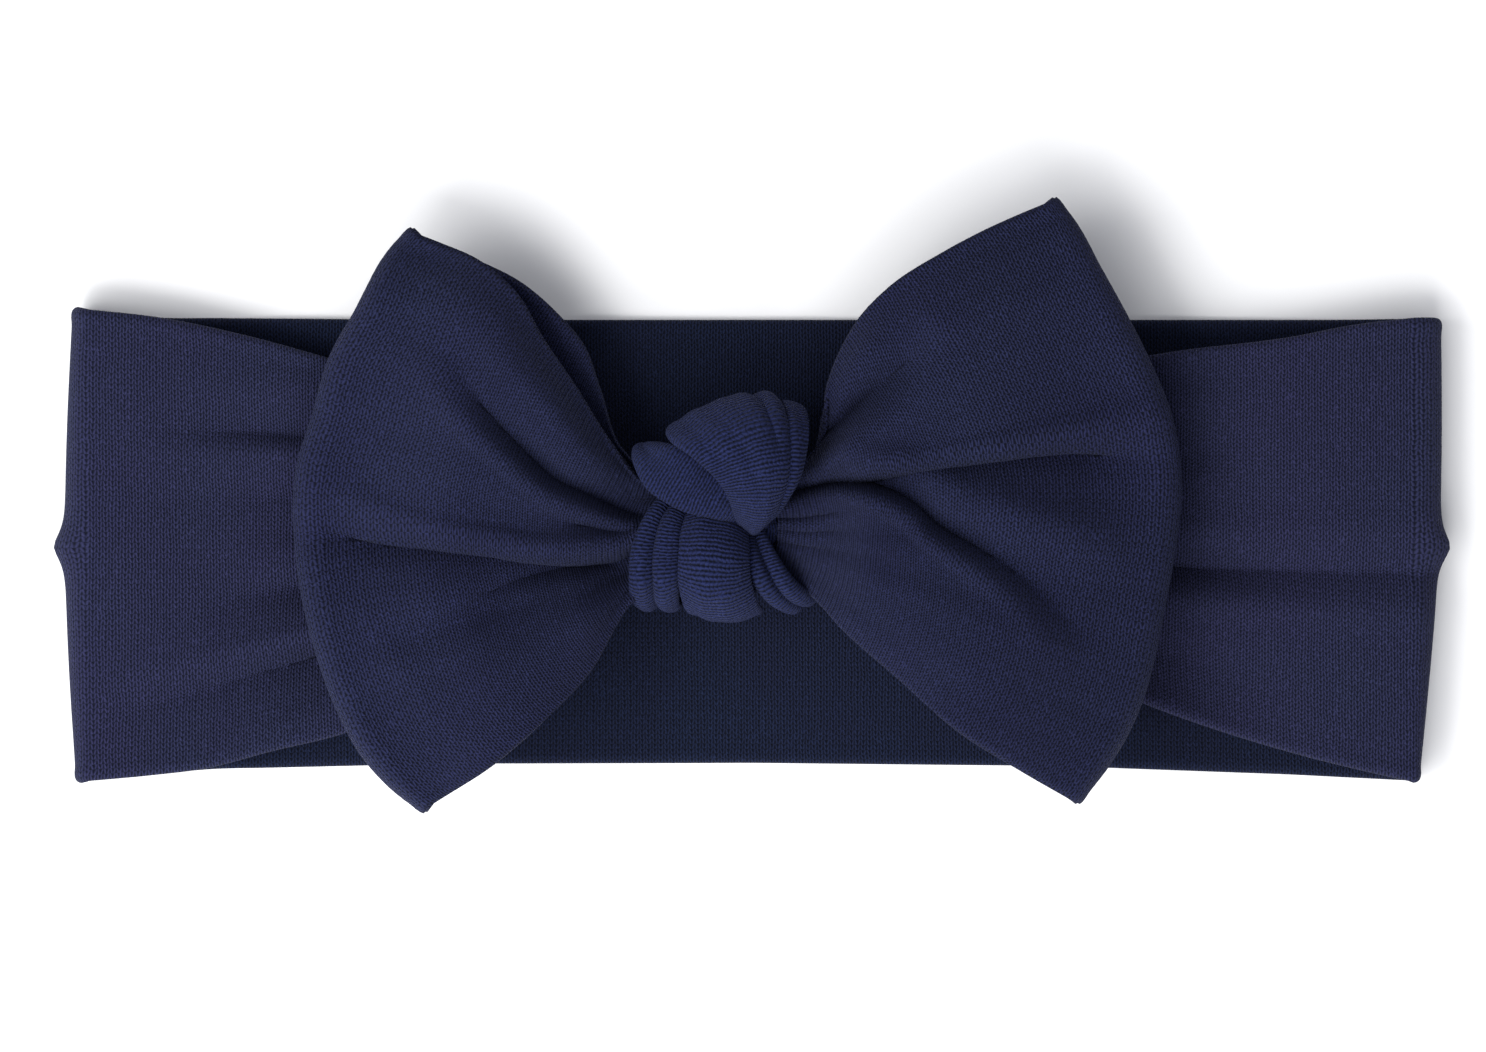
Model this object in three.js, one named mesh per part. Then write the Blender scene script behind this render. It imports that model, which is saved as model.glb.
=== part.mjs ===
// A knotted headband in fine jersey, lying flat: a doubled band closed into a loop, and a strip of the
// same cloth tied over the front of it into a bow with two ears and a knot.
// Millimetres, +Z up. The band's back panel lies on z = 0, +X runs along the band and +Y to its top edge.
import * as THREE from 'three';

// Driving dimensions
const LOOP_WIDTH = 180; // across the loop as it lies flat, from side fold to side fold
const CLOTH = 1.6; // two plies of jersey
const LOOP_GAP = 5.4; // room between the back panel and the front panels, where the head goes
const TOUCH = 0.3; // gap kept between pieces that touch
const SIDE_FOLD_DEPTH = 5.7; // how far each side fold reaches in from the end of the loop
const EAR_PLY = 1.5; // an ear's back layer
const EAR_EDGE = 2.4; // an ear's front layer at its rim
const EAR_RISE = 3.6; // how much the front layer swells towards its middle
const GATHER_HEIGHT = 3.2; // the band bunched together behind the knot
const SEAM_HEIGHT = 1.0;
const THREAD = 0.7;
const CORE_HEIGHT = 4.2; // the bow strip's pass hidden inside the knot
const KNOT_TOP = 27; // highest point of the whole headband

// Heights that follow from them
const PANEL_LOW = CLOTH + LOOP_GAP;
const PANEL_HIGH = PANEL_LOW + CLOTH;
const LOOP_HEIGHT = PANEL_HIGH;
const EAR_LOW = PANEL_HIGH + TOUCH;
const EAR_FRONT_LOW = EAR_LOW + EAR_PLY + TOUCH;
const GATHER_HIGH = PANEL_LOW + GATHER_HEIGHT;
const SEAM_LOW = GATHER_HIGH + TOUCH;
const CORE_LOW = SEAM_LOW + SEAM_HEIGHT + TOUCH;
const CORE_HIGH = CORE_LOW + CORE_HEIGHT;
const WRAP_LOW = CORE_HIGH + TOUCH;

// Places along the band
const LOOP_END = LOOP_WIDTH / 2;
const PANEL_OUTER_END = LOOP_END - SIDE_FOLD_DEPTH - TOUCH;
const KNOT_LEFT = -15.9; // the knot sits a little left of the loop's middle
const KNOT_RIGHT = 8.3;

const jerseyFace = () =>
  new THREE.MeshStandardMaterial({ color: '#2f3250', roughness: 0.95, metalness: 0 });
const jerseyInside = () =>
  new THREE.MeshStandardMaterial({ color: '#202338', roughness: 0.95, metalness: 0 });
const sewingThread = () =>
  new THREE.MeshStandardMaterial({ color: '#252843', roughness: 0.7, metalness: 0 });

const part = new THREE.Group();

function addNode(name, geometry, material) {
  const mesh = new THREE.Mesh(geometry, material);
  mesh.name = name;
  part.add(mesh);
  return mesh;
}

// A flat panel of an even thickness, cut to straight edges between its corners.
function panel(corners, low, thickness) {
  const outline = new THREE.Shape(corners.map(([x, y]) => new THREE.Vector2(x, y)));
  const geometry = new THREE.ExtrudeGeometry(outline, { depth: thickness, bevelEnabled: false });
  return geometry.translate(0, 0, low);
}

// The points of a smooth curve through the outline's, from its first to its last.
function curved(outline, count = 30) {
  const path = new THREE.CatmullRomCurve3(
    outline.map(([x, y]) => new THREE.Vector3(x, y, 0)), false, 'centripetal');
  return path.getSpacedPoints(count - 1).map(({ x, y }) => [x, y]);
}

// A soft closed solid inside an outline. Its rings of points shrink from the outline to the middle, and
// lowAt and highAt give its underside and its top from how far out a point is, which runs from 0 in
// the middle to 1 at the edge.
function softSolid({ outline, middle, lowAt, highAt, rings = 3 }) {
  const edge = outline.map(([x, y]) => new THREE.Vector2(x, y));
  if (THREE.ShapeUtils.area(edge) < 0) edge.reverse();
  const around = edge.length;

  const positions = [];
  const faces = [];
  const addSide = (heightAt) => {
    const first = positions.length / 3;
    positions.push(middle[0], middle[1], heightAt(0));
    for (let ring = 1; ring <= rings; ring += 1) {
      const out = ring / rings;
      for (const point of edge) {
        positions.push(
          middle[0] + (point.x - middle[0]) * out,
          middle[1] + (point.y - middle[1]) * out,
          heightAt(out));
      }
    }
    return first;
  };
  const top = addSide(highAt);
  const bottom = addSide(lowAt);
  const at = (side, ring, step) => side + 1 + (ring - 1) * around + (step % around);

  for (let step = 0; step < around; step += 1) {
    faces.push([top, at(top, 1, step), at(top, 1, step + 1)]);
    faces.push([bottom, at(bottom, 1, step + 1), at(bottom, 1, step)]);
    for (let ring = 1; ring < rings; ring += 1) {
      for (const [side, turn] of [[top, 0], [bottom, 1]]) {
        const near = [at(side, ring, step), at(side, ring, step + 1)];
        const far = [at(side, ring + 1, step), at(side, ring + 1, step + 1)];
        if (turn) faces.push([near[0], far[1], far[0]], [near[0], near[1], far[1]]);
        else faces.push([near[0], far[0], far[1]], [near[0], far[1], near[1]]);
      }
    }
    const under = [at(bottom, rings, step), at(bottom, rings, step + 1)];
    const over = [at(top, rings, step), at(top, rings, step + 1)];
    faces.push([under[0], under[1], over[1]], [under[0], over[1], over[0]]);
  }
  const geometry = new THREE.BufferGeometry();
  geometry.setAttribute('position', new THREE.Float32BufferAttribute(positions, 3));
  geometry.setIndex(faces.flat());
  geometry.computeVertexNormals();
  return geometry;
}

// A height that is level at the edge and swells towards the middle.
const swell = (atEdge, rise) => (out) => atEdge + rise * (1 - out * out);
const level = (height) => () => height;

// The band: its back panel, whose inner face looks up
addNode('band_back_panel', panel([
  [-PANEL_OUTER_END, 25.2], [0, 24.2], [PANEL_OUTER_END, 24.4],
  [PANEL_OUTER_END, -35.4], [0, -34.2], [-PANEL_OUTER_END, -35.8],
], 0, CLOTH), jerseyInside());

// The band's side folds, each a channel that turns the cloth over from the back to the front
function sideFold(side, topEdge, bottomEdge) {
  const outer = LOOP_HEIGHT / 2;
  const inner = outer - CLOTH;
  const centre = LOOP_END - outer;
  const armEnd = LOOP_END - SIDE_FOLD_DEPTH;
  const turns = 10;
  const section = [[armEnd, LOOP_HEIGHT]];
  for (let turn = 0; turn <= turns; turn += 1) {
    const angle = Math.PI * (0.5 - turn / turns);
    section.push([centre + outer * Math.cos(angle), outer + outer * Math.sin(angle)]);
  }
  section.push([armEnd, 0], [armEnd, CLOTH]);
  for (let turn = turns; turn >= 0; turn -= 1) {
    const angle = Math.PI * (0.5 - turn / turns);
    section.push([centre + inner * Math.cos(angle), outer + inner * Math.sin(angle)]);
  }
  section.push([armEnd, LOOP_HEIGHT - CLOTH]);
  const shape = new THREE.Shape(section.map(([x, z]) => new THREE.Vector2(side * x, z)));
  const geometry = new THREE.ExtrudeGeometry(shape, { depth: topEdge - bottomEdge, bevelEnabled: false });
  return geometry.rotateX(Math.PI / 2).translate(0, topEdge, 0);
}
addNode('band_left_side_fold', sideFold(-1, 25.4, -36), jerseyFace());
addNode('band_right_side_fold', sideFold(1, 24.6, -35.6), jerseyFace());

// The band's front panels, which narrow towards the knot
addNode('band_left_front_panel', panel([
  [-PANEL_OUTER_END, 25], [-77.4, 24.5], [-65.1, 22], [-54.2, 19], [KNOT_LEFT - TOUCH, 12],
  [KNOT_LEFT - TOUCH, -13], [-52.3, -29.6], [-61.9, -31.5], [-70.9, -34.1], [-PANEL_OUTER_END, -35.8],
], PANEL_LOW, CLOTH), jerseyFace());
addNode('band_right_front_panel', panel([
  [KNOT_RIGHT + TOUCH, 12], [51.5, 19.4], [70.8, 22], [78, 23.6], [PANEL_OUTER_END, 24.4],
  [PANEL_OUTER_END, -35.4], [70.8, -32.2], [52.8, -26.1], [KNOT_RIGHT + TOUCH, -13],
], PANEL_LOW, CLOTH), jerseyFace());

// The middle of the band, bunched together behind the knot
addNode('band_gathered_centre', panel([
  [KNOT_LEFT, 12], [-10, 11], [2, 11], [KNOT_RIGHT, 12],
  [KNOT_RIGHT, -13], [2, -12], [-10, -12], [KNOT_LEFT, -13],
], PANEL_LOW, GATHER_HEIGHT), jerseyFace());

// The seam that closes the band's two ends into a loop, and the stitches that hold the knot on it
const crossBar = (centre, size) => new THREE.BoxGeometry(...size).translate(...centre);
addNode('band_join_seam',
  crossBar([-3.8, -0.4, SEAM_LOW + SEAM_HEIGHT / 2], [2.4, 21, SEAM_HEIGHT]), sewingThread());
for (const [name, x] of [['left', -10.5], ['right', 2.9]]) {
  addNode(`knot_${name}_tack_stitch`,
    crossBar([x, 0, SEAM_LOW + SEAM_HEIGHT / 2], [THREAD, 9, THREAD]), sewingThread());
}

// The bow's ears. Each is a bight of the strip, folded at its outer edge, so it has two layers.
const EARS = {
  left: {
    middle: [-34, -1],
    back: [[-16.2, 6.5], [-21.5, 20.6], [-29.6, 28.8], [-43.5, 36], [-51.1, 24.8], [-58.4, 5.7],
      [-57.9, -11.5], [-49.8, -32.4], [-41.6, -39.6], [-27.1, -28.2], [-16.2, -14]],
    front: [[-16.2, 4.6], [-22.7, 15], [-30.1, 27.4], [-43.7, 35.6], [-51.4, 24.8], [-59, 0.2],
      [-56, -18.9], [-49.8, -32.4], [-41.6, -39.8], [-27.1, -28.2], [-16.2, -12.5]],
  },
  right: {
    middle: [32, 0],
    back: [[8.7, 7.5], [11.7, 19.3], [18.5, 28.5], [39.2, 39.7], [48.6, 24.3], [55.3, 3],
      [51.7, -20.8], [41.9, -38.3], [24.7, -27.5], [8.7, -11.5]],
    front: [[8.7, 6], [12.2, 18.8], [18.9, 28], [39.1, 39.9], [48.9, 24.3], [55.5, 3],
      [52, -20.8], [41.9, -38.5], [24.7, -27.5], [8.7, -10]],
  },
};
for (const [side, ear] of Object.entries(EARS)) {
  addNode(`bow_${side}_ear_back_layer`, softSolid({
    outline: curved(ear.back),
    middle: ear.middle,
    lowAt: level(EAR_LOW),
    highAt: level(EAR_LOW + EAR_PLY),
    rings: 1,
  }), jerseyFace());
  addNode(`bow_${side}_ear_front_layer`, softSolid({
    outline: curved(ear.front),
    middle: ear.middle,
    lowAt: level(EAR_FRONT_LOW),
    highAt: swell(EAR_FRONT_LOW + EAR_EDGE, EAR_RISE),
  }), jerseyFace());
}

// The knot's hidden core, and the passes of the strip that show round it
addNode('knot_core', softSolid({
  outline: [[-14.5, 2], [-10, 8], [-2, 12.5], [5, 12.5], [7, 6], [6, -3], [6.5, -11.5], [-2, -13],
    [-9, -12.5], [-14.5, -11]],
  middle: [-3.8, -0.5],
  lowAt: level(CORE_LOW),
  highAt: level(CORE_HIGH),
  rings: 1,
}), jerseyFace());

const PASSES = {
  knot_upper_wrap: {
    outline: [[-11, 8.6], [-5.9, 13], [-1.1, 14.8], [3.8, 14.5], [7, 12.4], [7.4, 6.9], [4.3, 0.3],
      [1, -3], [-2.3, -0.2], [-4.6, 4]],
    middle: [0.8, 6.4],
    top: KNOT_TOP,
  },
  knot_left_tuck: {
    outline: [[-14.9, 7.2], [-11.6, 7.4], [-8.2, 5.4], [-5.4, 2.6], [-3.2, -0.8], [-7.5, -0.7],
      [-11.1, 0.7], [-14.2, 3.3]],
    middle: [-9.4, 2.9],
    top: KNOT_TOP - 5,
  },
  knot_left_strand: {
    outline: [[-11.4, -0.3], [-14.2, -3], [-15.7, -6.5], [-15.4, -12.8], [-10.1, -13.5],
      [-9.4, -7], [-9.4, -2]],
    middle: [-12.4, -7.5],
    top: KNOT_TOP - 6,
  },
  knot_centre_panel: {
    outline: [[-8.6, -1.6], [-4, -1.9], [-1.6, -3.6], [-1.1, -8.8], [0.2, -12.3], [0.8, -14.2],
      [-7.4, -14.2], [-8.9, -13]],
    middle: [-4.6, -8],
    top: KNOT_TOP - 3,
  },
  knot_right_strand: {
    outline: [[-0.6, -4.4], [1.2, -4], [4.5, -8.6], [8.1, -11.4], [6.5, -13.6], [2.6, -13.8],
      [0.7, -11]],
    middle: [2.6, -9.8],
    top: KNOT_TOP - 6,
  },
};
for (const [name, pass] of Object.entries(PASSES)) {
  const edge = WRAP_LOW + 0.45 * (pass.top - WRAP_LOW);
  addNode(name, softSolid({
    outline: pass.outline,
    middle: pass.middle,
    lowAt: level(WRAP_LOW),
    highAt: swell(edge, pass.top - edge),
  }), jerseyFace());
}

// The origin is under the middle of the whole headband, on the surface that it lies on.
const middle = new THREE.Box3().setFromObject(part, true).getCenter(new THREE.Vector3());
part.position.set(-middle.x, -middle.y, 0);

export default part;
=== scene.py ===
"""A knotted headband in fine navy jersey, lying flat: a doubled band closed into a loop, and a strip of
the same cloth tied over its front into a bow with two ears and a gathered knot.

Shapes are worked out in millimetres in the part's own frame: +X along the band, +Y to its top edge and
+Z up, with the headband lying at Z = 0. The left is -X.
"""
import math

import bpy
import numpy as np
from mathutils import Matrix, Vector


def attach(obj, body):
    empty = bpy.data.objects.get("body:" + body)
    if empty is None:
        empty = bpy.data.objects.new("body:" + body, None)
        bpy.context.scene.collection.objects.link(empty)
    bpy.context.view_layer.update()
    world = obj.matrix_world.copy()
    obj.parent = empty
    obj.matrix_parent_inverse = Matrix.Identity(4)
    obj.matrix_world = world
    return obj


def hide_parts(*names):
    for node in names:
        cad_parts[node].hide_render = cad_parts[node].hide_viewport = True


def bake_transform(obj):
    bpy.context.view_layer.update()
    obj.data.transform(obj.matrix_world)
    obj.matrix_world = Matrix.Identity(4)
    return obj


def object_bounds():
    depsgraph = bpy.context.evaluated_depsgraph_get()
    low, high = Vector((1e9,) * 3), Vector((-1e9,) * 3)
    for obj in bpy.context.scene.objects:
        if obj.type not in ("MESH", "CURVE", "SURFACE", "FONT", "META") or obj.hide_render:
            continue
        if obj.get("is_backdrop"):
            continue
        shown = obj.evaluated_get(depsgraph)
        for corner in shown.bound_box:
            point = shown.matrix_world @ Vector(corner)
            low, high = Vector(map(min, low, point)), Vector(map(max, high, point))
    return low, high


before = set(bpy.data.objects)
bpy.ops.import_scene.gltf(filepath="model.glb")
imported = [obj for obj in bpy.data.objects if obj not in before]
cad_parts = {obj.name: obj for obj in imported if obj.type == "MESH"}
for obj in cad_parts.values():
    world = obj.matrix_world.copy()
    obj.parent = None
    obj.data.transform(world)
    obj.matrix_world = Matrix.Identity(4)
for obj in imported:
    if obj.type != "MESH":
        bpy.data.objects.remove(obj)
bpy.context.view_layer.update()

MM = 0.001
CLOTH = 1.5  # thickness of the doubled jersey
WALE = 0.8  # width of one column of stitches; the real one is 0.7, a little too fine to show
COURSE = 0.66  # height of one row of stitches; the real one, about 0.5, is too fine to show
FINE = 0.62  # spacing of the points that a cloth surface is made from
SWELL = 0.2  # how far cloth rises beside a crease or a pleat, as a share of its depth
OUTLINE = 201  # points in an outline that a grid is fitted to


# ---------------------------------------------------------------- curves and fields

def smooth(points, count, steps=400):
    """Evenly spaced points along a smooth curve through the given ones. Its length is measured in steps."""
    p = np.array(points, float)
    t = np.concatenate([[0], np.cumsum(np.linalg.norm(np.diff(p, axis=0), axis=1))])
    slope = np.gradient(p, t, axis=0)

    def at(x):
        i = np.clip(np.searchsorted(t, x, "right") - 1, 0, len(t) - 2)
        h = (t[i + 1] - t[i])[:, None]
        s = (x - t[i])[:, None] / h
        return ((2 * s**3 - 3 * s**2 + 1) * p[i] + (s**3 - 2 * s**2 + s) * h * slope[i]
                + (3 * s**2 - 2 * s**3) * p[i + 1] + (s**3 - s**2) * h * slope[i + 1])

    x = np.linspace(0, t[-1], steps)
    fine = at(x)
    run = np.concatenate([[0], np.cumsum(np.linalg.norm(np.diff(fine, axis=0), axis=1))])
    return at(np.interp(np.linspace(0, run[-1], count), run, x))


def smooth_pair(edge_a, edge_b, count):
    """Smooth curves through two edges' points, kept level with each other."""
    both = np.hstack([np.array(edge_a, float), np.array(edge_b, float)])
    line = smooth(both, count)
    return line[:, :3], line[:, 3:]


def smoothstep(low, high, x):
    """Rises smoothly from 0 at low to 1 at high."""
    s = np.clip((x - low) / (high - low), 0, 1)
    return s * s * (3 - 2 * s)


def bump(x, reach, power=2):
    """1 where x is 0, falling smoothly to nothing on both sides, reach being how far it spreads."""
    return np.exp(-(np.abs(x / reach) ** power))


def crease(points, path, depth, below, above, lip=0):
    """How far a crease along path moves each point of a cloth, as (x, y, z). depth is its depth along the
    path, and below and above are how far it reaches on its -Y and +Y side, each given at even steps from
    its start to its end. Beyond that the cloth swells a little before it is level. lip is how far the +Y
    side hangs over the crease."""
    blunt = 0.015  # rounds the bottom of the crease
    swell_at, swell_reach = 2.1, 0.8  # in reaches from the crease
    too_near = 0.05  # keeps the overhang's direction steady at the crease itself
    line = smooth(path, 160)
    heading = np.gradient(line, axis=0)
    flat = points[..., :2].reshape(-1, 2)
    nearest = np.linalg.norm(flat[:, None] - line[None], axis=2).argmin(axis=1)
    off = flat - line[nearest]
    turn = heading[nearest, 0] * off[:, 1] - heading[nearest, 1] * off[:, 0]
    is_above = (turn > 0) == (line[-1, 0] > line[0, 0])

    def along(values):
        return np.interp(nearest / (len(line) - 1), np.linspace(0, 1, len(values)), values)

    pressed = along(depth)
    distance = np.linalg.norm(off, axis=1)
    far = distance / np.where(is_above, along(above), along(below))
    shape = np.exp(-((far**2 + blunt) ** 0.75)) - SWELL * bump(far - swell_at, swell_reach)
    slide = lip * is_above * far * np.exp(1 - far) * np.minimum(pressed / max(depth), 1)
    move = np.column_stack([-off * (slide / (distance + too_near))[:, None], -pressed * shape])
    return move.reshape((*points.shape[:-1], 3))


def ripple(x, y, seed, reach, height):
    """A slight unevenness: a seeded sum of waves about reach long and, together, about height high."""
    waves = 9
    rng = np.random.default_rng(seed)
    total = 0
    for _ in range(waves):
        heading, phase = rng.uniform(0, 2 * math.pi, 2)
        length = reach * rng.uniform(0.7, 1.7)
        run = x * math.cos(heading) + y * math.sin(heading)
        total = total + np.sin(2 * math.pi * run / length + phase)
    return total * height / math.sqrt(waves)


def across(width, spacing=FINE):
    """Places from 0 to 1 across a strip of cloth, closer together at its two rounded edges."""
    edge = np.array([0, 0.08, 0.25, 0.5, 0.9]) / width
    inset = 1.4 / width
    inner = np.linspace(inset, 1 - inset, max(6, int(width / spacing)))
    return np.concatenate([edge, inner, 1 - edge[::-1]])


# ---------------------------------------------------------------- cloth

def cloth(name, mid, flat_length, flat_width, materials, places, thickness=CLOTH, bead=0.2):
    """A closed sheet of doubled cloth round a grid of middle points (along, across, xyz). Its long edges
    are folds, so they are round and fuller than the rest by the share bead. The map named cloth holds
    each point's place on the flat strip, in centimetres. materials are its upper and lower face's."""
    bead_at, bead_reach = 1.1, 0.8  # from the long edge
    rows, columns = mid.shape[:2]
    along = np.gradient(mid, axis=0)
    over = np.gradient(mid, axis=1)
    normal = np.cross(along, over)
    normal /= np.maximum(np.linalg.norm(normal, axis=2, keepdims=True), 1e-9)

    half = thickness / 2
    edge = np.minimum(places, 1 - places) * flat_width
    round_off = np.sqrt(1 - (1 - np.clip(edge / half, 0, 1)) ** 2)
    fuller = 1 + bead * bump(edge - bead_at, bead_reach)
    offset = normal * (half * round_off * fuller)[None, :, None]

    top, bottom = mid + offset, mid - offset
    inner = bottom[:, 1:-1]
    points = np.concatenate([top.reshape(-1, 3), inner.reshape(-1, 3)])

    def up(i, j):
        return i * columns + j

    def down(i, j):
        if j in (0, columns - 1):
            return up(i, j)
        return rows * columns + i * (columns - 2) + j - 1

    faces, cells, face_material = [], [], []

    def add(corners, material):
        """A face from (point, cell) corners, without the ones that repeat at a long edge."""
        kept = [c for k, c in enumerate(corners) if c[0] != corners[k - 1][0]]
        faces.append([c[0] for c in kept])
        cells.extend(c[1] for c in kept)
        face_material.append(material)

    for i in range(rows - 1):
        for j in range(columns - 1):
            cell = [(i, j), (i + 1, j), (i + 1, j + 1), (i, j + 1)]
            add([(up(*c), c) for c in cell], 0)
            add([(down(*c), c) for c in reversed(cell)], 1)
    for i, turn in ((0, 1), (rows - 1, -1)):
        for j in range(columns - 1):
            corners = [(up(i, j), (i, j)), (up(i, j + 1), (i, j + 1)),
                       (down(i, j + 1), (i, j + 1)), (down(i, j), (i, j))]
            add(corners[::turn], 0)

    mesh = bpy.data.meshes.new(name)
    mesh.from_pydata((points * MM).tolist(), [], faces)
    run = np.linspace(0, flat_length, rows)
    uv = np.array([(run[i], places[j] * flat_width) for i, j in cells]) / 10
    layer = mesh.uv_layers.new(name="cloth")
    layer.data.foreach_set("uv", uv.astype(np.float32).ravel())
    for material in materials:
        mesh.materials.append(material)
    mesh.polygons.foreach_set("material_index", np.array(face_material, np.int32))
    mesh.polygons.foreach_set("use_smooth", np.ones(len(faces), bool))
    mesh.update()
    piece = bpy.data.objects.new(name, mesh)
    bpy.context.scene.collection.objects.link(piece)
    return piece


def ruled(a, b, places):
    """A grid of points ruled from curve a to curve b."""
    w = places[None, :, None]
    return a[:, None] * (1 - w) + b[:, None] * w


def patch(near, far, edge_a, edge_b, rows, places):
    """A grid of points that fills the four curves round it: near and far run across the strip, and
    edge_a and edge_b along it, from near to far."""
    u = np.linspace(0, 1, rows)[:, None, None]
    w = places[None, :, None]
    spots = (places * (OUTLINE - 1)).round().astype(int)
    near, far = smooth(near, OUTLINE)[spots], smooth(far, OUTLINE)[spots]
    sides = ruled(smooth(edge_a, rows), smooth(edge_b, rows), places)
    ends = near[None] * (1 - u) + far[None] * u
    corners = (near[0] * (1 - w) + near[-1] * w) * (1 - u) + (far[0] * (1 - w) + far[-1] * w) * u
    return sides + ends - corners


# ---------------------------------------------------------------- materials

def srgb(colour):
    """A linear colour from an sRGB hex value."""
    parts = [int(colour[k:k + 2], 16) / 255 for k in (1, 3, 5)]
    return [c / 12.92 if c <= 0.04045 else ((c + 0.055) / 1.055) ** 2.4 for c in parts] + [1]


def node(tree, kind, settings=None, inputs=None):
    """Adds a node, sets its properties and fills or links its inputs."""
    made = tree.nodes.new(kind)
    for key, value in (settings or {}).items():
        setattr(made, key, value)
    for key, value in (inputs or {}).items():
        if isinstance(value, bpy.types.NodeSocket):
            tree.links.new(value, made.inputs[key])
        else:
            made.inputs[key].default_value = value
    return made


def maths(tree, operation, *values):
    """A Math node's result."""
    return node(tree, "ShaderNodeMath", {"operation": operation}, dict(enumerate(values))).outputs[0]


def jersey(name, light, dark, tint, slant=0.42, relief=0.2):
    """Fine cotton and elastane single jersey, piece-dyed. Its face is columns of small V-shaped stitches,
    which give fine lines across the strip with a soft shadow between them. The yarn is dry and matt,
    with a faint bloom from its loose fibres, and takes the dye a little unevenly. light and tint are the
    two colours that the dye wanders between, and dark is the shadow between the stitches. slant is how
    far a stitch leans over its column, and relief how deep the knit is, in millimetres."""
    drift_scale = 420.0  # how often the columns waver, each 2.4 mm
    speck_scale = 2400.0  # loose fibres, each 0.4 mm
    patchy_scale = 46.0  # uneven dyeing, in patches of 22 mm
    material = bpy.data.materials.new(name)
    material.use_nodes = True
    tree = material.node_tree
    shader = tree.nodes["Principled BSDF"]

    solid = node(tree, "ShaderNodeTexCoord").outputs["Object"]
    place = node(tree, "ShaderNodeSeparateXYZ", None,
                 {0: node(tree, "ShaderNodeUVMap", {"uv_map": "cloth"}).outputs[0]})

    def noise(vector, scale, detail, roughness=0.5):
        return node(tree, "ShaderNodeTexNoise", {"noise_dimensions": "3D"},
                    {"Vector": vector, "Scale": scale, "Detail": detail,
                     "Roughness": roughness}).outputs["Fac"]

    # one leg of a V: q runs from 0 between two columns to 1 at the middle of one, t along a stitch
    drift = maths(tree, "MULTIPLY", maths(tree, "SUBTRACT", noise(solid, drift_scale, 3.0), 0.5), 0.55)
    column = maths(tree, "MULTIPLY_ADD", place.outputs[0], 10 / WALE, drift)
    q = maths(tree, "MULTIPLY", maths(tree, "PINGPONG", column, 0.5), 2.0)
    t = maths(tree, "FRACT", maths(tree, "MULTIPLY_ADD", place.outputs[1], 10 / COURSE, drift))
    lean = maths(tree, "MULTIPLY_ADD", t, slant, -0.5 - slant / 2)
    leg = maths(tree, "COSINE", maths(tree, "MULTIPLY", maths(tree, "ADD", q, lean), math.pi))
    leg = maths(tree, "MAXIMUM", leg, 0.0)
    loop_end = maths(tree, "SINE", maths(tree, "MULTIPLY", t, math.pi))
    yarn = maths(tree, "MULTIPLY", leg, maths(tree, "MULTIPLY_ADD", loop_end, 0.2, 0.8))

    # the yarn's thick and thin places, longer along a column of stitches than across it
    stretched = node(tree, "ShaderNodeCombineXYZ", None,
                     {0: maths(tree, "MULTIPLY", place.outputs[0], 22.0),
                      1: maths(tree, "MULTIPLY", place.outputs[1], 7.0)}).outputs[0]
    slub = noise(stretched, 1.0, 3.0, 0.7)
    speck = noise(solid, speck_scale, 1.0)
    patchy = noise(solid, patchy_scale, 4.0, 0.6)
    shade = maths(tree, "MULTIPLY_ADD", yarn, 0.9, maths(tree, "MULTIPLY", slub, 0.3))
    # bright flecks where the speck is highest: lighter loose fibres, and a painted highlight where the yarn
    # catches the light
    fibre_highlight = maths(tree, "MAXIMUM", maths(tree, "SUBTRACT", speck, 0.6), 0.0)
    fibre_highlight = maths(tree, "MULTIPLY", fibre_highlight, 3.6)
    shade = maths(tree, "ADD", maths(tree, "MULTIPLY_ADD", speck, 0.5, shade), fibre_highlight)
    lit = node(tree, "ShaderNodeMix", {"data_type": "RGBA"},
               {"Factor": maths(tree, "MULTIPLY_ADD", patchy, 2.4, -0.7), 6: srgb(light), 7: srgb(tint)})
    base = node(tree, "ShaderNodeMix", {"data_type": "RGBA"},
                {"Factor": maths(tree, "SUBTRACT", shade, 0.42), 6: srgb(dark), 7: lit.outputs[2]})
    height = maths(tree, "MULTIPLY_ADD", maths(tree, "ADD", slub, speck), 0.3, yarn)
    knit = node(tree, "ShaderNodeBump", None,
                {"Height": height, "Distance": relief * MM, "Strength": 1.0})
    tree.links.new(base.outputs[2], shader.inputs["Base Color"])
    tree.links.new(knit.outputs[0], shader.inputs["Normal"])
    shader.inputs["Roughness"].default_value = 0.94
    shader.inputs["Specular IOR Level"].default_value = 0.12
    shader.inputs["Sheen Weight"].default_value = 0.06
    shader.inputs["Sheen Roughness"].default_value = 0.4
    shader.inputs["Sheen Tint"].default_value = srgb("#a3aede")
    return material


# One cloth, a little paler on the band's face than on the bow. The loop's inner faces take a darker copy of
# it: painted shade for the shadow that falls within the loop and under the bow.
# In the knot it is pulled tight, so its stitches stand straighter and deeper.
face = jersey("navy_jersey_face", "#2a2e4b", "#0d101d", "#2b2b4b")
bow = jersey("navy_jersey_bow", "#242947", "#080a16", "#222545")
# painted shade: a darker copy of the cloth for the loop's inner faces, which lie in shadow
shaded_inside = jersey("navy_jersey_painted_shade_inside", "#19223b", "#080b16", "#191e37")
pulled = jersey("navy_jersey_pulled_tight", "#20284e", "#060913", "#20264d", slant=0.2, relief=0.26)


# ---------------------------------------------------------------- the band

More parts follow.
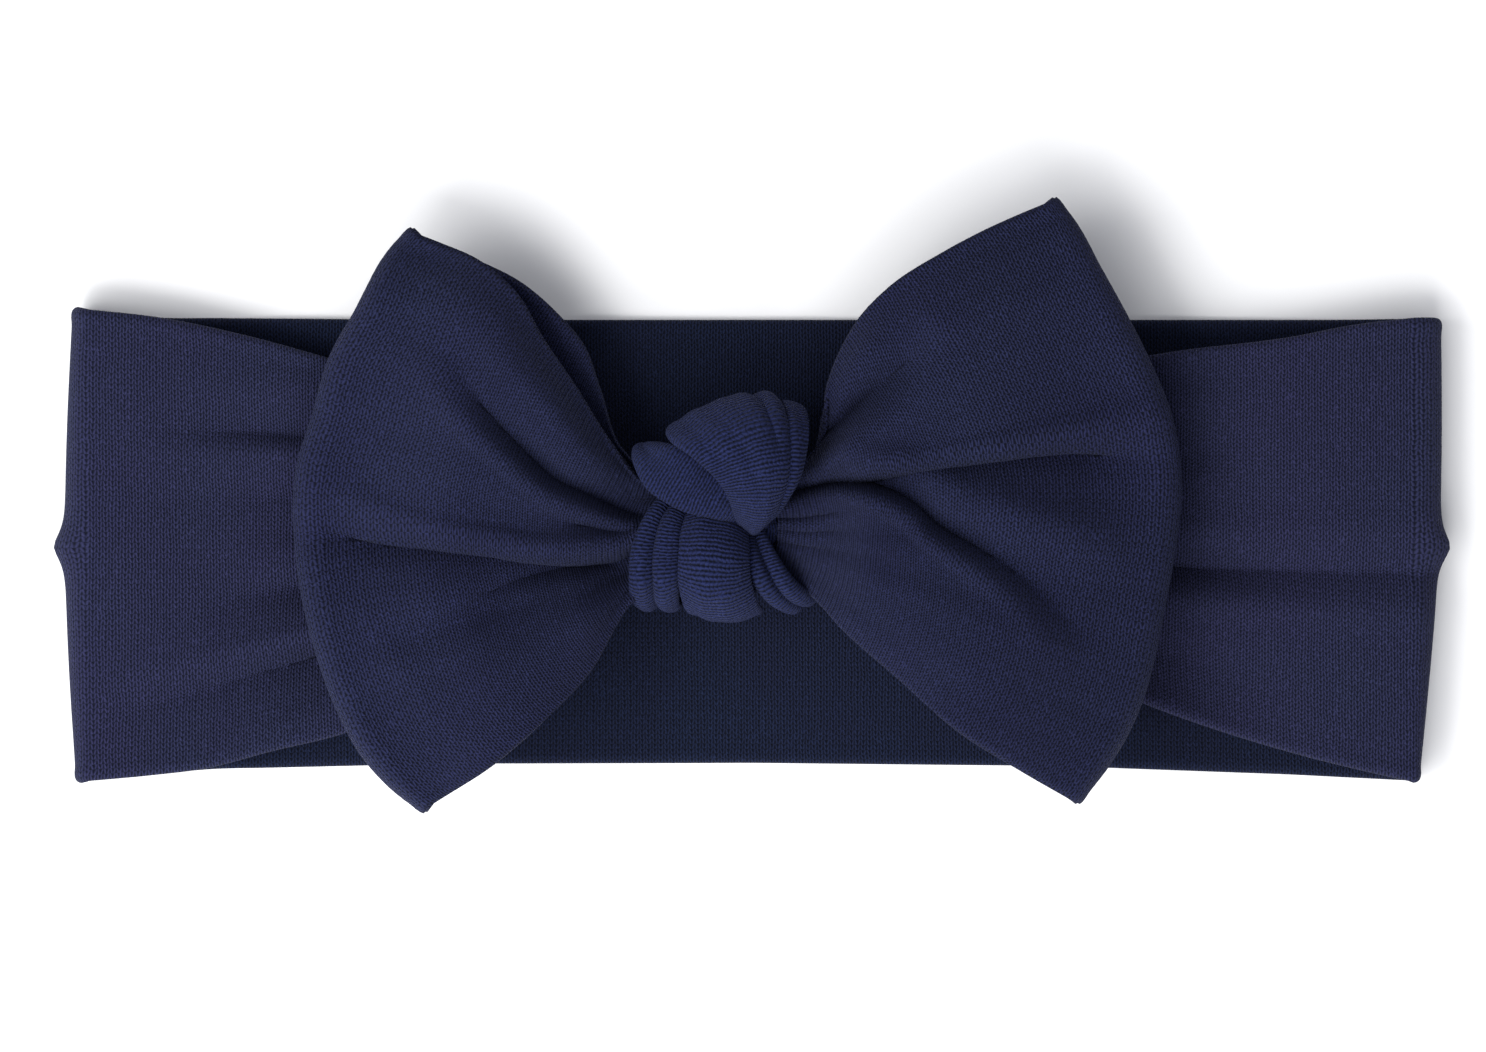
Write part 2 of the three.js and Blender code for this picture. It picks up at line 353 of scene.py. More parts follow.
PANEL_Z = 7.8  # middle of the front layer's cloth
BACK_Z = 0.8  # middle of the back layer's cloth
BAND_WIDTH = 60.0
JOIN_X = 84.0  # the back panel ends and the side fold's piece begins, underneath
TURN_X = 85.5  # the side fold's turn begins
FOLD_X = 89.0  # the side fold's outermost line, before its outline is drawn
BAND_MIDDLE = -3.8  # where the band's two ends are sewn together, behind the knot

# The back panel's two edges in plan, from left to right.
BACK_EDGES = {
    "top": [(-89, 25.8), (-77, 24.5), (-40, 24.2), (0, 24.2), (40, 24.2), (76, 24.2), (90, 24.4)],
    "bottom": [(-89, -36), (-70, -34.3), (-40, -33.6), (0, -33.5), (40, -33.9), (70, -35), (90, -36)],
}

# Each front panel's edges from the side fold to the join, and its creases from the bow outwards, as the
# line, depth, reach below and reach above that crease() takes. corner is how far out the side fold
# reaches at its top and its bottom.
FRONTS = {
    -1: {
        "top": [(-77.4, 24.5), (-65.1, 22), (-54.2, 19), (-38, 14), (-25, 9), (-18, 5), (-13, 3.6),
                (-8, 4.5), (-4, 5.5)],
        "bottom": [(-77.4, -34.9), (-70.9, -34.1), (-61.9, -31.8), (-52.3, -29.4), (-38, -22),
                   (-25, -15), (-18, -11.2), (-12, -9.8), (-4, -9.5)],
        "creases": [
            ([(-46, 7), (-58, 8.8), (-66, 9.4), (-79, 9.9)], (3.0, 0), (1.0, 1.3), (2.6, 3.4)),
            ([(-46, 1), (-58, 1), (-70, 0.5), (-82, 0)], (3.6, 0), (8, 9), (3, 4)),
            ([(-46, -8), (-58, -10.2), (-72, -12.4)], (4.4, 0), (2.8, 4.5), (1.6, 3)),
            ([(-46, -16), (-58, -19.8), (-66, -22.2), (-82, -27)], (5.2, 0.4), (3.2, 4.8), (1.0, 2.2)),
        ],
        "corner": (-88.0, -87.5),
    },
    1: {
        "top": [(78, 23.4), (70.8, 22), (51.5, 19.4), (35, 15), (20, 9.5), (13, 6.5), (7, 5.5),
                (-3.6, 5.5)],
        "bottom": [(80, -34.5), (70.8, -32.2), (52.8, -26.4), (35, -18.5), (20, -13.5), (12, -10.6),
                   (5, -9.6), (-3.6, -9.5)],
        "creases": [
            ([(40, -6.9), (55, -8), (72, -8.4), (89, -8.7)], (2.8, 1.6), (1.8, 2.6), (1.8, 3.0)),
            ([(44, 4), (54, 6), (68, 8)], (2.4, 0), (3.4, 4), (3, 4)),
            ([(44, -16), (54, -20), (72, -26)], (2.6, 0), (3.4, 4), (2.4, 5)),
        ],
        "corner": (89.6, 86.7),
    },
}


def back_edge(edge, x):
    """The back panel's y at its top or bottom edge."""
    line = np.array(BACK_EDGES[edge])
    return np.interp(x, line[:, 0], line[:, 1])


def back_row(x, places):
    """The back panel's y at each of the places across it."""
    return back_edge("bottom", x) * (1 - places) + back_edge("top", x) * places


def make_band_back():
    """The back panel, with the loop's inner face looking up; that face has the painted shade of the darker
    copy of the cloth.
    """
    spacing = 1.1  # coarser than the other pieces, because it is nearly flat
    places = across(BAND_WIDTH, spacing)
    rows = int(2 * JOIN_X / spacing)
    x = np.linspace(-JOIN_X, JOIN_X, 25)
    bottom, top = (smooth([(k, back_edge(edge, k), BACK_Z) for k in x], rows) for edge in ("bottom", "top"))
    mid = ruled(bottom, top, places)
    level_at_ends = 1 - np.abs(mid[..., 0] / JOIN_X) ** 8
    mid[..., 2] += ripple(mid[..., 0], mid[..., 1], 3, 26, 0.1) * level_at_ends
    return cloth("band_back", mid, 2 * JOIN_X, BAND_WIDTH, (shaded_inside, face), places)


def fold_outline(side, y):
    """How far out the side fold reaches at y: a slight bow between its corners, and the small point that
    the pressed crease along the band's middle leaves."""
    top_y, bottom_y, crease_y = 25, -36, -5.3
    bow_out, point_out = 1.2, 1.5
    top, bottom = FRONTS[side]["corner"]
    share = (y - top_y) / (bottom_y - top_y)
    bowed = top + (bottom - top) * share + side * bow_out * np.sin(math.pi * np.clip(share, 0, 1))
    return bowed + side * point_out * bump(y - crease_y, 2.3, 1.4)


def make_band_front(side):
    """One side fold and the front panel that runs from it to the join behind the knot."""
    spec = FRONTS[side]
    turns = 16
    places = across(BAND_WIDTH)
    rows = int(abs(BAND_MIDDLE - side * JOIN_X) / FINE)
    turn_x = side * TURN_X
    inset = 0.05  # of the front layer's edges from the back layer's, where the turn ends

    # the front panel, from the side fold to the join
    top = smooth([(turn_x, back_edge("top", turn_x) - inset), *spec["top"]], rows)
    bottom = smooth([(turn_x, back_edge("bottom", turn_x) + inset), *spec["bottom"]], rows)
    plan = ruled(bottom, top, places)
    far = np.abs(plan[..., 0] - BAND_MIDDLE)
    sag = 1.5 * smoothstep(14, 45, far) * (1 - smoothstep(60, 82, far))
    height = PANEL_Z - sag
    for line in spec["creases"]:
        height += crease(plan, *line)[..., 2]
    gathered = 1 - smoothstep(40, 80, far)
    level_at_fold = 1 - smoothstep(74, 86, far)
    height += ripple(far / 5, BAND_WIDTH * places[None], 11 + side, 7, 0.3) * gathered
    height += ripple(plan[..., 0], plan[..., 1], 21 + side, 22, 0.16) * level_at_fold
    panel = np.dstack([plan, height])

    # the side fold, from underneath round to the front; its turn is a little fuller than a half circle
    fullness = 0.8
    fold = []
    for x in np.linspace(side * JOIN_X, turn_x, 4)[:-1]:
        y = back_row(x, places)
        fold.append(np.stack([np.full_like(y, x), y, np.full_like(y, BACK_Z)], axis=1))
    near_y, far_y = back_row(turn_x, places), back_row(side * FOLD_X, places)
    outer = fold_outline(side, far_y) - side * CLOTH / 2
    end_z = panel[0, :, 2]
    centre_z, radius_z = (end_z + BACK_Z) / 2, (end_z - BACK_Z) / 2
    for angle in np.linspace(-math.pi / 2, math.pi / 2, turns)[:-1]:
        x = turn_x + (outer - turn_x) * math.cos(angle) ** fullness
        y = near_y + (far_y - near_y) * math.cos(angle)
        fold.append(np.stack([x, y, centre_z + radius_z * math.sin(angle)], axis=1))
    mid = np.concatenate([np.array(fold), panel])
    if side < 0:
        return mid[:, ::-1], places[::-1]
    return mid, places


def length_of(mid):
    """The length along the middle of a grid of points."""
    centre = mid[:, mid.shape[1] // 2]
    return float(np.linalg.norm(np.diff(centre, axis=0), axis=1).sum())


band_back = make_band_back()
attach(band_back, "band")
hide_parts("band_back_panel")

for side, word in ((-1, "left"), (1, "right")):
    mid, places = make_band_front(side)
    # the side of the front panel that faces into the loop takes the painted-shade copy of the cloth
    piece = cloth(f"band_{word}_front", mid, length_of(mid), BAND_WIDTH, (shaded_inside, face), places)
    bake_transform(piece)
    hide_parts(f"band_{word}_side_fold", f"band_{word}_front_panel")
    if side < 0:
        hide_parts("band_gathered_centre")


# ---------------------------------------------------------------- the bow's ears

# Each ear in plan: where its front and back layers leave the knot, with heights; its outer fold; and its
# two long edges from the knot outwards, low to where the outer fold's line starts and high to where it
# ends, so that low is the right ear's top edge. high_back is given where the back layer shows beyond the
# front one. The creases are the front layer's, from the knot outwards, as crease() takes them.
EARS = {
    "left": {
        "root": [(-12, -9.5, 13.5), (-12.5, -3, 15), (-11, 2, 13.5)],
        "root_back": [(-12, -10, 10.8), (-12.5, -3, 10.4), (-12, 5, 10.8)],
        "outer": [(-41.6, -39.6), (-45.6, -36.8), (-49.8, -32.4), (-53.5, -25.7), (-56, -18.9),
                  (-57.9, -11.5), (-58.8, -5.3), (-59, 0.2), (-58.4, 5.7), (-56.6, 11.3),
                  (-54.2, 19.3), (-51.1, 24.8), (-46.2, 33.4), (-43.5, 36)],
        "low": [(-12, -9.5), (-16.4, -13.5), (-20.9, -21.3), (-27.1, -28.2), (-33.2, -33.4)],
        "high": [(-11, 2), (-14, 2.8), (-16, 4.8), (-18.5, 8.2), (-22.7, 15), (-27.1, 21.7),
                 (-30.1, 27.2), (-35.1, 31.6), (-39.9, 33.8)],
        "high_back": [(-12, 5), (-14.6, 5.5), (-16.6, 7.5), (-19.3, 15), (-21.5, 20.8),
                      (-24.7, 24.6), (-29.6, 28.8), (-35.1, 31.6), (-39.9, 33.8)],
        "creases": [
            ([(-10, -2.6), (-15.4, -1.1), (-20.4, 1.0), (-25.2, 3.3), (-28.6, 6.3), (-32, 9.9),
              (-34.6, 13.1), (-36.8, 16.6), (-39, 21)],
             (2.2, 4.2, 4.2, 2.6, 0), (0.7, 0.9, 1.2, 1.5, 2.2), (1.3, 2.0, 2.8, 3.6, 4.5)),
            ([(-10, -4.7), (-16.4, -5.9), (-22.4, -6.4), (-28.2, -6.1), (-34.1, -5.4), (-40, -5.0),
              (-46, -4.7), (-51, -4.1), (-57.5, -3.0)],
             (2.0, 3.0, 4.6, 4.8, 3.8, 0.8), (0.8, 1.3, 2.4, 3.6, 4.4, 5),
             (0.8, 0.8, 0.9, 1.2, 2.0, 3.0), 1.0),
            ([(-10, -5.0), (-17, -6.9), (-24, -8.2), (-30, -10.0), (-35, -12), (-40, -14.8), (-46, -19)],
             (2.4, 5.2, 5.6, 4.6, 2.4, 0), (1.2, 2.6, 4.0, 5.2, 6.5, 8),
             (0.9, 1.2, 1.8, 2.8, 4, 6), 0.6),
            ([(-11, -7.8), (-14, -8.8), (-17.2, -11), (-18.8, -13.8)], (1.6, 0), (0.8, 1.1), (0.8, 1.5)),
            ([(-11, 0.6), (-16, 4), (-21, 9), (-26, 16)], (1.4, 0), (1.2, 2.4), (1.0, 2.0)),
        ],
    },
    "right": {
        "root": [(2.5, 3.2, 13.5), (3.5, -2, 15), (3, -8, 13.5)],
        "root_back": [(2.5, 3.4, 10.8), (3.5, -2, 10.4), (3, -8.4, 10.8)],
        "outer": [(39.1, 39.9), (41.9, 36.5), (44.9, 31), (48.6, 24.3), (51.7, 18.1), (54.2, 11.9),
                  (55.5, 5.1), (55.5, 0.2), (54.6, -6.6), (53.3, -13.3), (51.7, -20.8),
                  (49.9, -26.4), (46.2, -33.1), (41.9, -38.5)],
        "low": [(2.5, 3.2), (5.6, 4.4), (8.0, 6.8), (9.1, 10), (9.9, 14.1), (11.7, 19.3), (14.5, 24.3),
                (18.5, 28.5), (24.7, 32.5), (34.0, 37.2)],
        "high": [(3, -8), (8.3, -11.5), (12.3, -15.8), (19.1, -22), (24.7, -27.5), (35.1, -34.3)],
        "creases": [
            ([(3, 2.2), (6.3, 5.3), (10.0, 9.0), (12.8, 11.9), (15.9, 14.7), (18.9, 17.3), (21.2, 19.9),
              (24, 23.5)],
             (2.2, 4.6, 5.4, 3.4, 0), (0.8, 1.2, 1.8, 2.4, 3.0), (0.9, 1.2, 1.8, 2.6, 3.6)),
            ([(3, 1.2), (10, 3.0), (16, 3.9), (21.3, 5.0), (26.6, 5.8), (31.2, 6.5), (36.5, 7.1),
              (41.9, 7.3), (46.5, 6.7), (53, 5.5)],
             (1.6, 2.6, 3.8, 5.0, 4.6, 0.6), (0.9, 1.5, 2.6, 4.0, 5.0, 6),
             (0.8, 0.8, 0.8, 0.9, 1.6, 3.0), 1.0),
            ([(3, 0.9), (9.9, 3.0), (13.9, 2.8), (18.0, 1.6), (21.2, -0.2), (24.2, -2.8), (28.7, -5.5),
              (33.2, -8.3), (36.4, -11.0), (40.2, -14.6), (44, -19)],
             (2.2, 4.2, 4.4, 3.6, 2.0, 0), (0.7, 0.8, 1.0, 1.3, 1.8, 2.4),
             (1.1, 1.7, 2.4, 3.2, 4.2, 5)),
            ([(3, -1.5), (9, -2.6), (14, -5.4), (19, -9.5)], (0.5, 0), (1.4, 3), (1.4, 3)),
        ],
    },
}
EAR_BACK_Z = 9.75  # middle of the back layer's cloth, beyond the root
EAR_LENGTH = 46  # of one layer, from the root to the outer fold
EAR_WIDTH = 78.0


def fold_radius(v):
    """Radius of the turn at an ear's outer fold, v from -1 to 1 across the strip."""
    middle, corner = 2.6, 1.0
    return middle - (middle - corner) * np.abs(v) ** 3


def make_ear(side):
    """One ear: the strip runs out from the knot along the back layer, turns over at the outer fold and
    comes back along the front layer. Its middle is drawn down by the knot and its two long edges stand
    up, so it is a little like a butterfly's wing. r is how far out from the knot a point is, v how far
    across the strip from its middle."""
    ear = EARS[side]
    out = -1 if side == "left" else 1
    places = across(EAR_WIDTH)
    rows = int(EAR_LENGTH / FINE)
    r = np.linspace(0, 1, rows)[:, None]
    v = 2 * places - 1
    run_mm = EAR_LENGTH * r
    lie_mm = EAR_WIDTH * places[None]
    from_top = EAR_WIDTH - lie_mm if side == "left" else lie_mm

    # the outer fold's line, drawn in by the turn's own radius and the cloth
    outer = smooth(ear["outer"], OUTLINE)
    heading = np.gradient(outer, axis=0)
    heading /= np.linalg.norm(heading, axis=1, keepdims=True)
    outward = np.stack([heading[:, 1], -heading[:, 0]], axis=1)
    if (outward[OUTLINE // 2, 0] > 0) != (out > 0):
        outward = -outward
    spots = (places * (OUTLINE - 1)).round().astype(int)
    drawn_in = outer - outward * (fold_radius(np.linspace(-1, 1, OUTLINE)) + CLOTH / 2)[:, None]

    # how far the two long edges stand up, the lower one more
    upper_flare, lower_flare = 1.2, 2.4
    in_upper_half = out * (places[None] - 0.5) < 0
    flare = np.where(in_upper_half, upper_flare, lower_flare) * np.abs(v[None]) ** 1.5
    flare = flare * smoothstep(0.05, 0.85, r)

    def layer_plan(root, high):
        near = [(x, y) for x, y, _ in root]
        return patch(near, drawn_in[::8], [*ear["low"], tuple(drawn_in[0])],
                     [*high, tuple(drawn_in[-1])], rows, places)

    def layer_height(root, level, leaves_root, flare_share):
        root_z = np.interp(places, [0, 0.5, 1], [z for _, _, z in root])[None]
        return level + (root_z - level) * (1 - smoothstep(0, leaves_root, r)) + flare_share * flare

    back = np.dstack([layer_plan(ear["root_back"], ear.get("high_back", ear["high"])),
                      layer_height(ear["root_back"], EAR_BACK_Z, 0.35, 2.6)])

    # the front layer: puffed up, rolled off at its long edges, creased, and gathered at its root
    puff, roll_top, roll_low = 4.8, 2.8, 1.0
    gathers, gather_depth = 6.3, 0.34 if side == "left" else 0.15
    plan = layer_plan(ear["root"], ear["high"])
    height = layer_height(ear["root"], EAR_BACK_Z + 2 * fold_radius(v)[None], 0.5, 4.4)
    height += puff * smoothstep(0, 0.3, r) * (1 - smoothstep(0.6, 1, r)) * (1 - 0.3 * np.abs(v[None]) ** 3)
    height -= roll_top * bump(from_top, 5.5) * smoothstep(0, 0.4, r)
    height -= roll_low * bump(EAR_WIDTH - from_top, 2.2) * r
    moves = sum(crease(plan, *line) for line in ear["creases"])
    height += moves[..., 2]
    wave = np.cos(2 * math.pi * (gathers * places + 0.22 * np.sin(11 * places)))[None]
    height += gather_depth * wave * (1 - smoothstep(0.1, 0.42, r))
    height += ripple(run_mm / 3, lie_mm, 31 + out, 9, 0.16) * smoothstep(0.1, 0.4, r)
    height += ripple(plan[..., 0], plan[..., 1], 41 + out, 15, 0.22) * smoothstep(0.1, 0.5, r)
    free_to_slide = smoothstep(0, 0.12, r) * (1 - smoothstep(0.85, 1, r))
    front = np.dstack([plan + moves[..., :2] * free_to_slide[..., None], height])

    # the front layer never presses through the back one
    floor = back[..., 2] + CLOTH + 0.15
    gap = front[..., 2] - floor
    front[..., 2] = floor + np.where(gap < 1, np.exp(np.minimum(gap - 1, 0)), gap)

    # the outer fold's turn, from the back layer round to the front one
    turn = []
    steps = 12
    radius = (front[-1, :, 2] - back[-1, :, 2]) / 2
    centre_z = (front[-1, :, 2] + back[-1, :, 2]) / 2
    base = (front[-1, :, :2] + back[-1, :, :2]) / 2
    for k in range(1, steps):
        angle = -math.pi / 2 + math.pi * k / steps
        plan_k = base + outward[spots] * (fold_radius(v) * math.cos(angle))[:, None]
        turn.append(np.column_stack([plan_k, centre_z + radius * math.sin(angle)]))
    return np.concatenate([back, np.array(turn), front[::-1]]), places


for word, start_x, end_x in (("left", -0.015, -0.034), ("right", 0.0085, 0.028)):
    mid, places = make_ear(word)
    piece = cloth(f"bow_{word}_ear", mid, length_of(mid), EAR_WIDTH, (bow, bow), places)
    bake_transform(piece)
    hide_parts(f"bow_{word}_ear_front_layer", f"bow_{word}_ear_back_layer")


# ---------------------------------------------------------------- the knot

# Each pass of the gathered strip: its left and right edges and the rise between them, from one end to
# the other, and the pleats pressed along it as (place across, depth, reach). arch, where it isn't even,
# is how squarely the pass is rounded over on its left and its right half.
PASSES = {
    "knot_core": {
        "left": [(-14, 5.5, 10.5), (-11, 7, 12), (-6, 9, 13), (-1, 8.5, 13), (3, 6.5, 12), (6, 5, 10.5)],
        "right": [(-14, -9.5, 10.5), (-11, -10.5, 12), (-6, -11.5, 13), (-1, -11.5, 13), (3, -9.5, 12),
                  (6, -8.5, 10.5)],
        "rise": [1, 2.2, 3.2, 3.2, 2.2, 1],
        "pleats": [(0.15, 0.7, 1.2), (0.34, 0.8, 1.0), (0.52, 0.8, 1.1), (0.68, 0.7, 1.0),
                   (0.86, 0.7, 1.2)],
    },
    "knot_left_strand": {
        "left": [(-9.5, 2.5, 12.5), (-11.4, 0.6, 15.2), (-13.6, -2.6, 16.2), (-15.0, -6.2, 16.2),
                 (-15.2, -9.4, 15.6), (-15.0, -11.6, 13.8), (-14.4, -12.3, 11.6), (-13.4, -12, 9.2)],
        "right": [(-6.5, 1.5, 13), (-8.0, -0.4, 16.2), (-8.8, -3, 17.8), (-9.0, -6, 18.4),
                  (-9.2, -9, 18), (-9.3, -11.4, 16), (-9.2, -12.4, 13.2), (-8.8, -12, 9.4)],
        "rise": [0.8, 1.3, 1.8, 2.0, 1.9, 1.5, 1.0, 0.6],
        "pleats": [(0.48, 2.0, 0.75), (0.22, 0.25, 0.7), (0.76, 0.3, 0.8)],
    },
    "knot_right_strand": {
        "left": [(-1.6, -1.6, 13), (-1.0, -4.0, 15.6), (-0.5, -7.2, 16.6), (0.9, -10.2, 16.2),
                 (2.8, -12.2, 14.6), (4.6, -13.0, 12.4), (5.4, -12.6, 10)],
        "right": [(1.8, -2.2, 13), (1.7, -3.6, 15.6), (3.4, -6.8, 16.6), (5.4, -9.3, 16.4),
                  (7.0, -10.6, 15.2), (8.1, -11.2, 13.4), (8.4, -10.8, 11)],
        "rise": [0.5, 1.0, 1.5, 1.8, 1.6, 1.1, 0.6],
        "pleats": [(0.5, 1.6, 0.7), (0.8, 0.25, 0.6)],
    },
    "knot_centre_panel": {
        "left": [(-5.2, 1.5, 14), (-7.9, -0.6, 16.4), (-8.7, -3, 18.2), (-9.0, -6, 19.0),
                 (-9.1, -9.2, 18.6), (-8.6, -11.7, 16.8), (-7.9, -13.0, 13.8), (-7, -12.8, 9.6)],
        "right": [(-0.4, 0.5, 13.6), (-0.7, -2.2, 16.2), (-0.5, -4.4, 18), (-0.4, -6.8, 18.8),
                  (-0.2, -9.2, 18.4), (0.6, -11.7, 16.6), (1.5, -13.2, 13.6), (1.2, -12.8, 9.6)],
        "rise": [0.6, 1.3, 2.2, 3.0, 3.0, 2.2, 1.0, 0.4],
        "pleats": [(0.13, 0.35, 0.9), (0.9, 0.3, 0.8)],
    },
    "knot_left_tuck": {
        "left": [(-13.8, 6.6, 12), (-14.6, 6.6, 15.4), (-14.4, 4.9, 17.8), (-13.2, 2.4, 18.8),
                 (-11.0, 0.6, 19.4), (-8.3, -0.7, 19.8), (-4.8, -1.4, 19.6), (-1.8, -2.0, 18)],
        "right": [(-11.2, 7.1, 12), (-12.6, 7.5, 15.6), (-11.4, 7.7, 18.4), (-9.6, 7.6, 20.2),
                  (-7.4, 6.8, 21), (-5.0, 5.4, 21), (-2.4, 3.0, 20.6), (0, 1.0, 19)],
        "rise": [0.6, 0.7, 0.8, 1.0, 1.2, 1.2, 1.0, 0.8],
        "pleats": [(0.62, 0.25, 1.2)],
    },
    "knot_upper_wrap": {
        "left": [(-0.8, -3.0, 13.5), (-1.1, -2.2, 18.0), (-1.9, -0.9, 20.8), (-2.6, 0.8, 22.4),
                 (-3.6, 2.5, 23.2), (-5.1, 4.2, 23.3), (-7.1, 5.8, 22.8), (-9.2, 7.2, 21.6),
                 (-10.6, 8.6, 19.4), (-10.4, 9.2, 16.4), (-9.2, 9.2, 13.2), (-8, 9, 10.4)],
        "right": [(2.2, -3.0, 13.5), (2.2, -2.4, 17.4), (3.4, -0.6, 19.4), (4.8, 1.6, 20.6),
                  (6.3, 4.4, 21.2), (7.0, 7.4, 21.2), (7.3, 9.7, 20.4), (7.2, 11.2, 18.6),
                  (6.7, 11.7, 16.2), (6.2, 11.3, 13.5), (5.6, 10.8, 11.4), (5, 10, 10)],
        "rise": [0.4, 0.8, 1.6, 2.4, 3.0, 3.4, 3.6, 3.7, 3.6, 3.0, 2.4, 1.8],
        "arch": (1.65, 2.6),
        "pleats": [(0.93, 0.5, 0.6), (0.82, 1.1, 0.65), (0.66, 0.55, 0.8), (0.36, 0.28, 1.4),
                   (0.12, 0.2, 0.9)],
    },
}
GATHER = 1.5  # how many times a pass's own width its gathered cloth is
PASS_CLOTH, PASS_BEAD = 1.2, 0.12  # thickness and fuller edges of the cloth in the knot


def make_pass(spec, seed):
    """The grid of a pass of the gathered strip: ruled between its two edges, arched between them with its
    edges rolled under, and pleats pressed in. Also its places across, its width and its length."""
    spacing, arch_power = 0.42, 2.6
    width = float(np.linalg.norm(np.array(spec["left"]) - np.array(spec["right"]), axis=1).mean())
    length = 0.5 * sum(np.linalg.norm(np.diff(np.array(spec[e]), axis=0), axis=1).sum()
                       for e in ("left", "right"))
    places = across(width * GATHER, spacing)
    rows = int(length * 1.3 / 0.4)
    a, b = smooth_pair(spec["left"], spec["right"], rows)
    grid = ruled(a, b, places)

    # which way is up along the pass, evened out over a few rows
    even = 3
    up = np.cross(np.gradient(grid, axis=1), np.gradient(grid, axis=0)).sum(axis=1, keepdims=True)
    upside_down = up[..., 2].sum() < 0
    if upside_down:
        up = -up
    up = np.cumsum(np.concatenate([up[:1].repeat(even, 0), up, up[-1:].repeat(even, 0)]), axis=0)
    up = up[2 * even:] - up[:-2 * even]
    up /= np.linalg.norm(up, axis=2, keepdims=True)

    run = np.linspace(0, 1, rows)[:, None]
    ends = np.sin(math.pi * np.clip(run, 0.02, 0.98)) ** 0.4
    v = 2 * places[None] - 1
    powers = spec.get("arch", (arch_power, arch_power))
    arch = (1 - np.abs(v) ** np.where(v < 0, *powers)) ** 0.85
    lift = np.interp(run, np.linspace(0, 1, len(spec["rise"])), spec["rise"]) * arch
    between = np.linalg.norm(b - a, axis=1)[:, None]
    for k, (place, depth, reach) in enumerate(spec["pleats"]):
        wander = 0.02 * np.sin(2 * math.pi * (1.3 * run + 0.37 * (seed + k)))
        off = (places[None] - place - wander) * between
        pleat = bump(off, reach, 1.7) - SWELL * bump(np.abs(off / reach) - 2, 1)
        lift = lift - depth * pleat * ends
    lift = lift + ripple(run * length / 2.5, v * width / 2, 50 + seed, 2.6, 0.12) * ends
    mid = grid + up * lift[..., None]
    return mid if upside_down else mid[:, ::-1], places, width, length


for seed, (name, spec) in enumerate(PASSES.items()):
    mid, places, width, length = make_pass(spec, seed)
    piece = cloth(f"{name}_jersey", mid, length, width * GATHER, (pulled, bow), places,
                  PASS_CLOTH, PASS_BEAD)
    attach(piece, "knot")
    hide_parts(name)


# ---------------------------------------------------------------- the hidden sewing

def thread_material():
    """Spun polyester sewing thread, two plies twisted together, which gives it a fine slanting ridge and a
    low sheen."""
    material = bpy.data.materials.new("navy_spun_polyester_thread")
    material.use_nodes = True
    tree = material.node_tree
    shader = tree.nodes["Principled BSDF"]
    solid = node(tree, "ShaderNodeTexCoord").outputs["Object"]
    twist_scale = 500.0  # a slanting ridge every 0.7 mm
    twist = node(tree, "ShaderNodeTexWave", {"bands_direction": "DIAGONAL"},
                 {"Vector": solid, "Scale": twist_scale, "Distortion": 0.6, "Detail": 1.0})
    # painted shade in the grooves between the two plies and painted light on their ridges, following the
    # twist
    base = node(tree, "ShaderNodeMix", {"data_type": "RGBA"},
                {"Factor": twist.outputs["Fac"], 6: srgb("#14172a"), 7: srgb("#2c3252")})
    ridge = node(tree, "ShaderNodeBump", None,
                 {"Height": twist.outputs["Fac"], "Distance": 0.05 * MM, "Strength": 1.0})
    tree.links.new(base.outputs[2], shader.inputs["Base Color"])
    tree.links.new(ridge.outputs[0], shader.inputs["Normal"])
    shader.inputs["Roughness"].default_value = 0.6
    shader.inputs["Sheen Weight"].default_value = 0.15
    return material


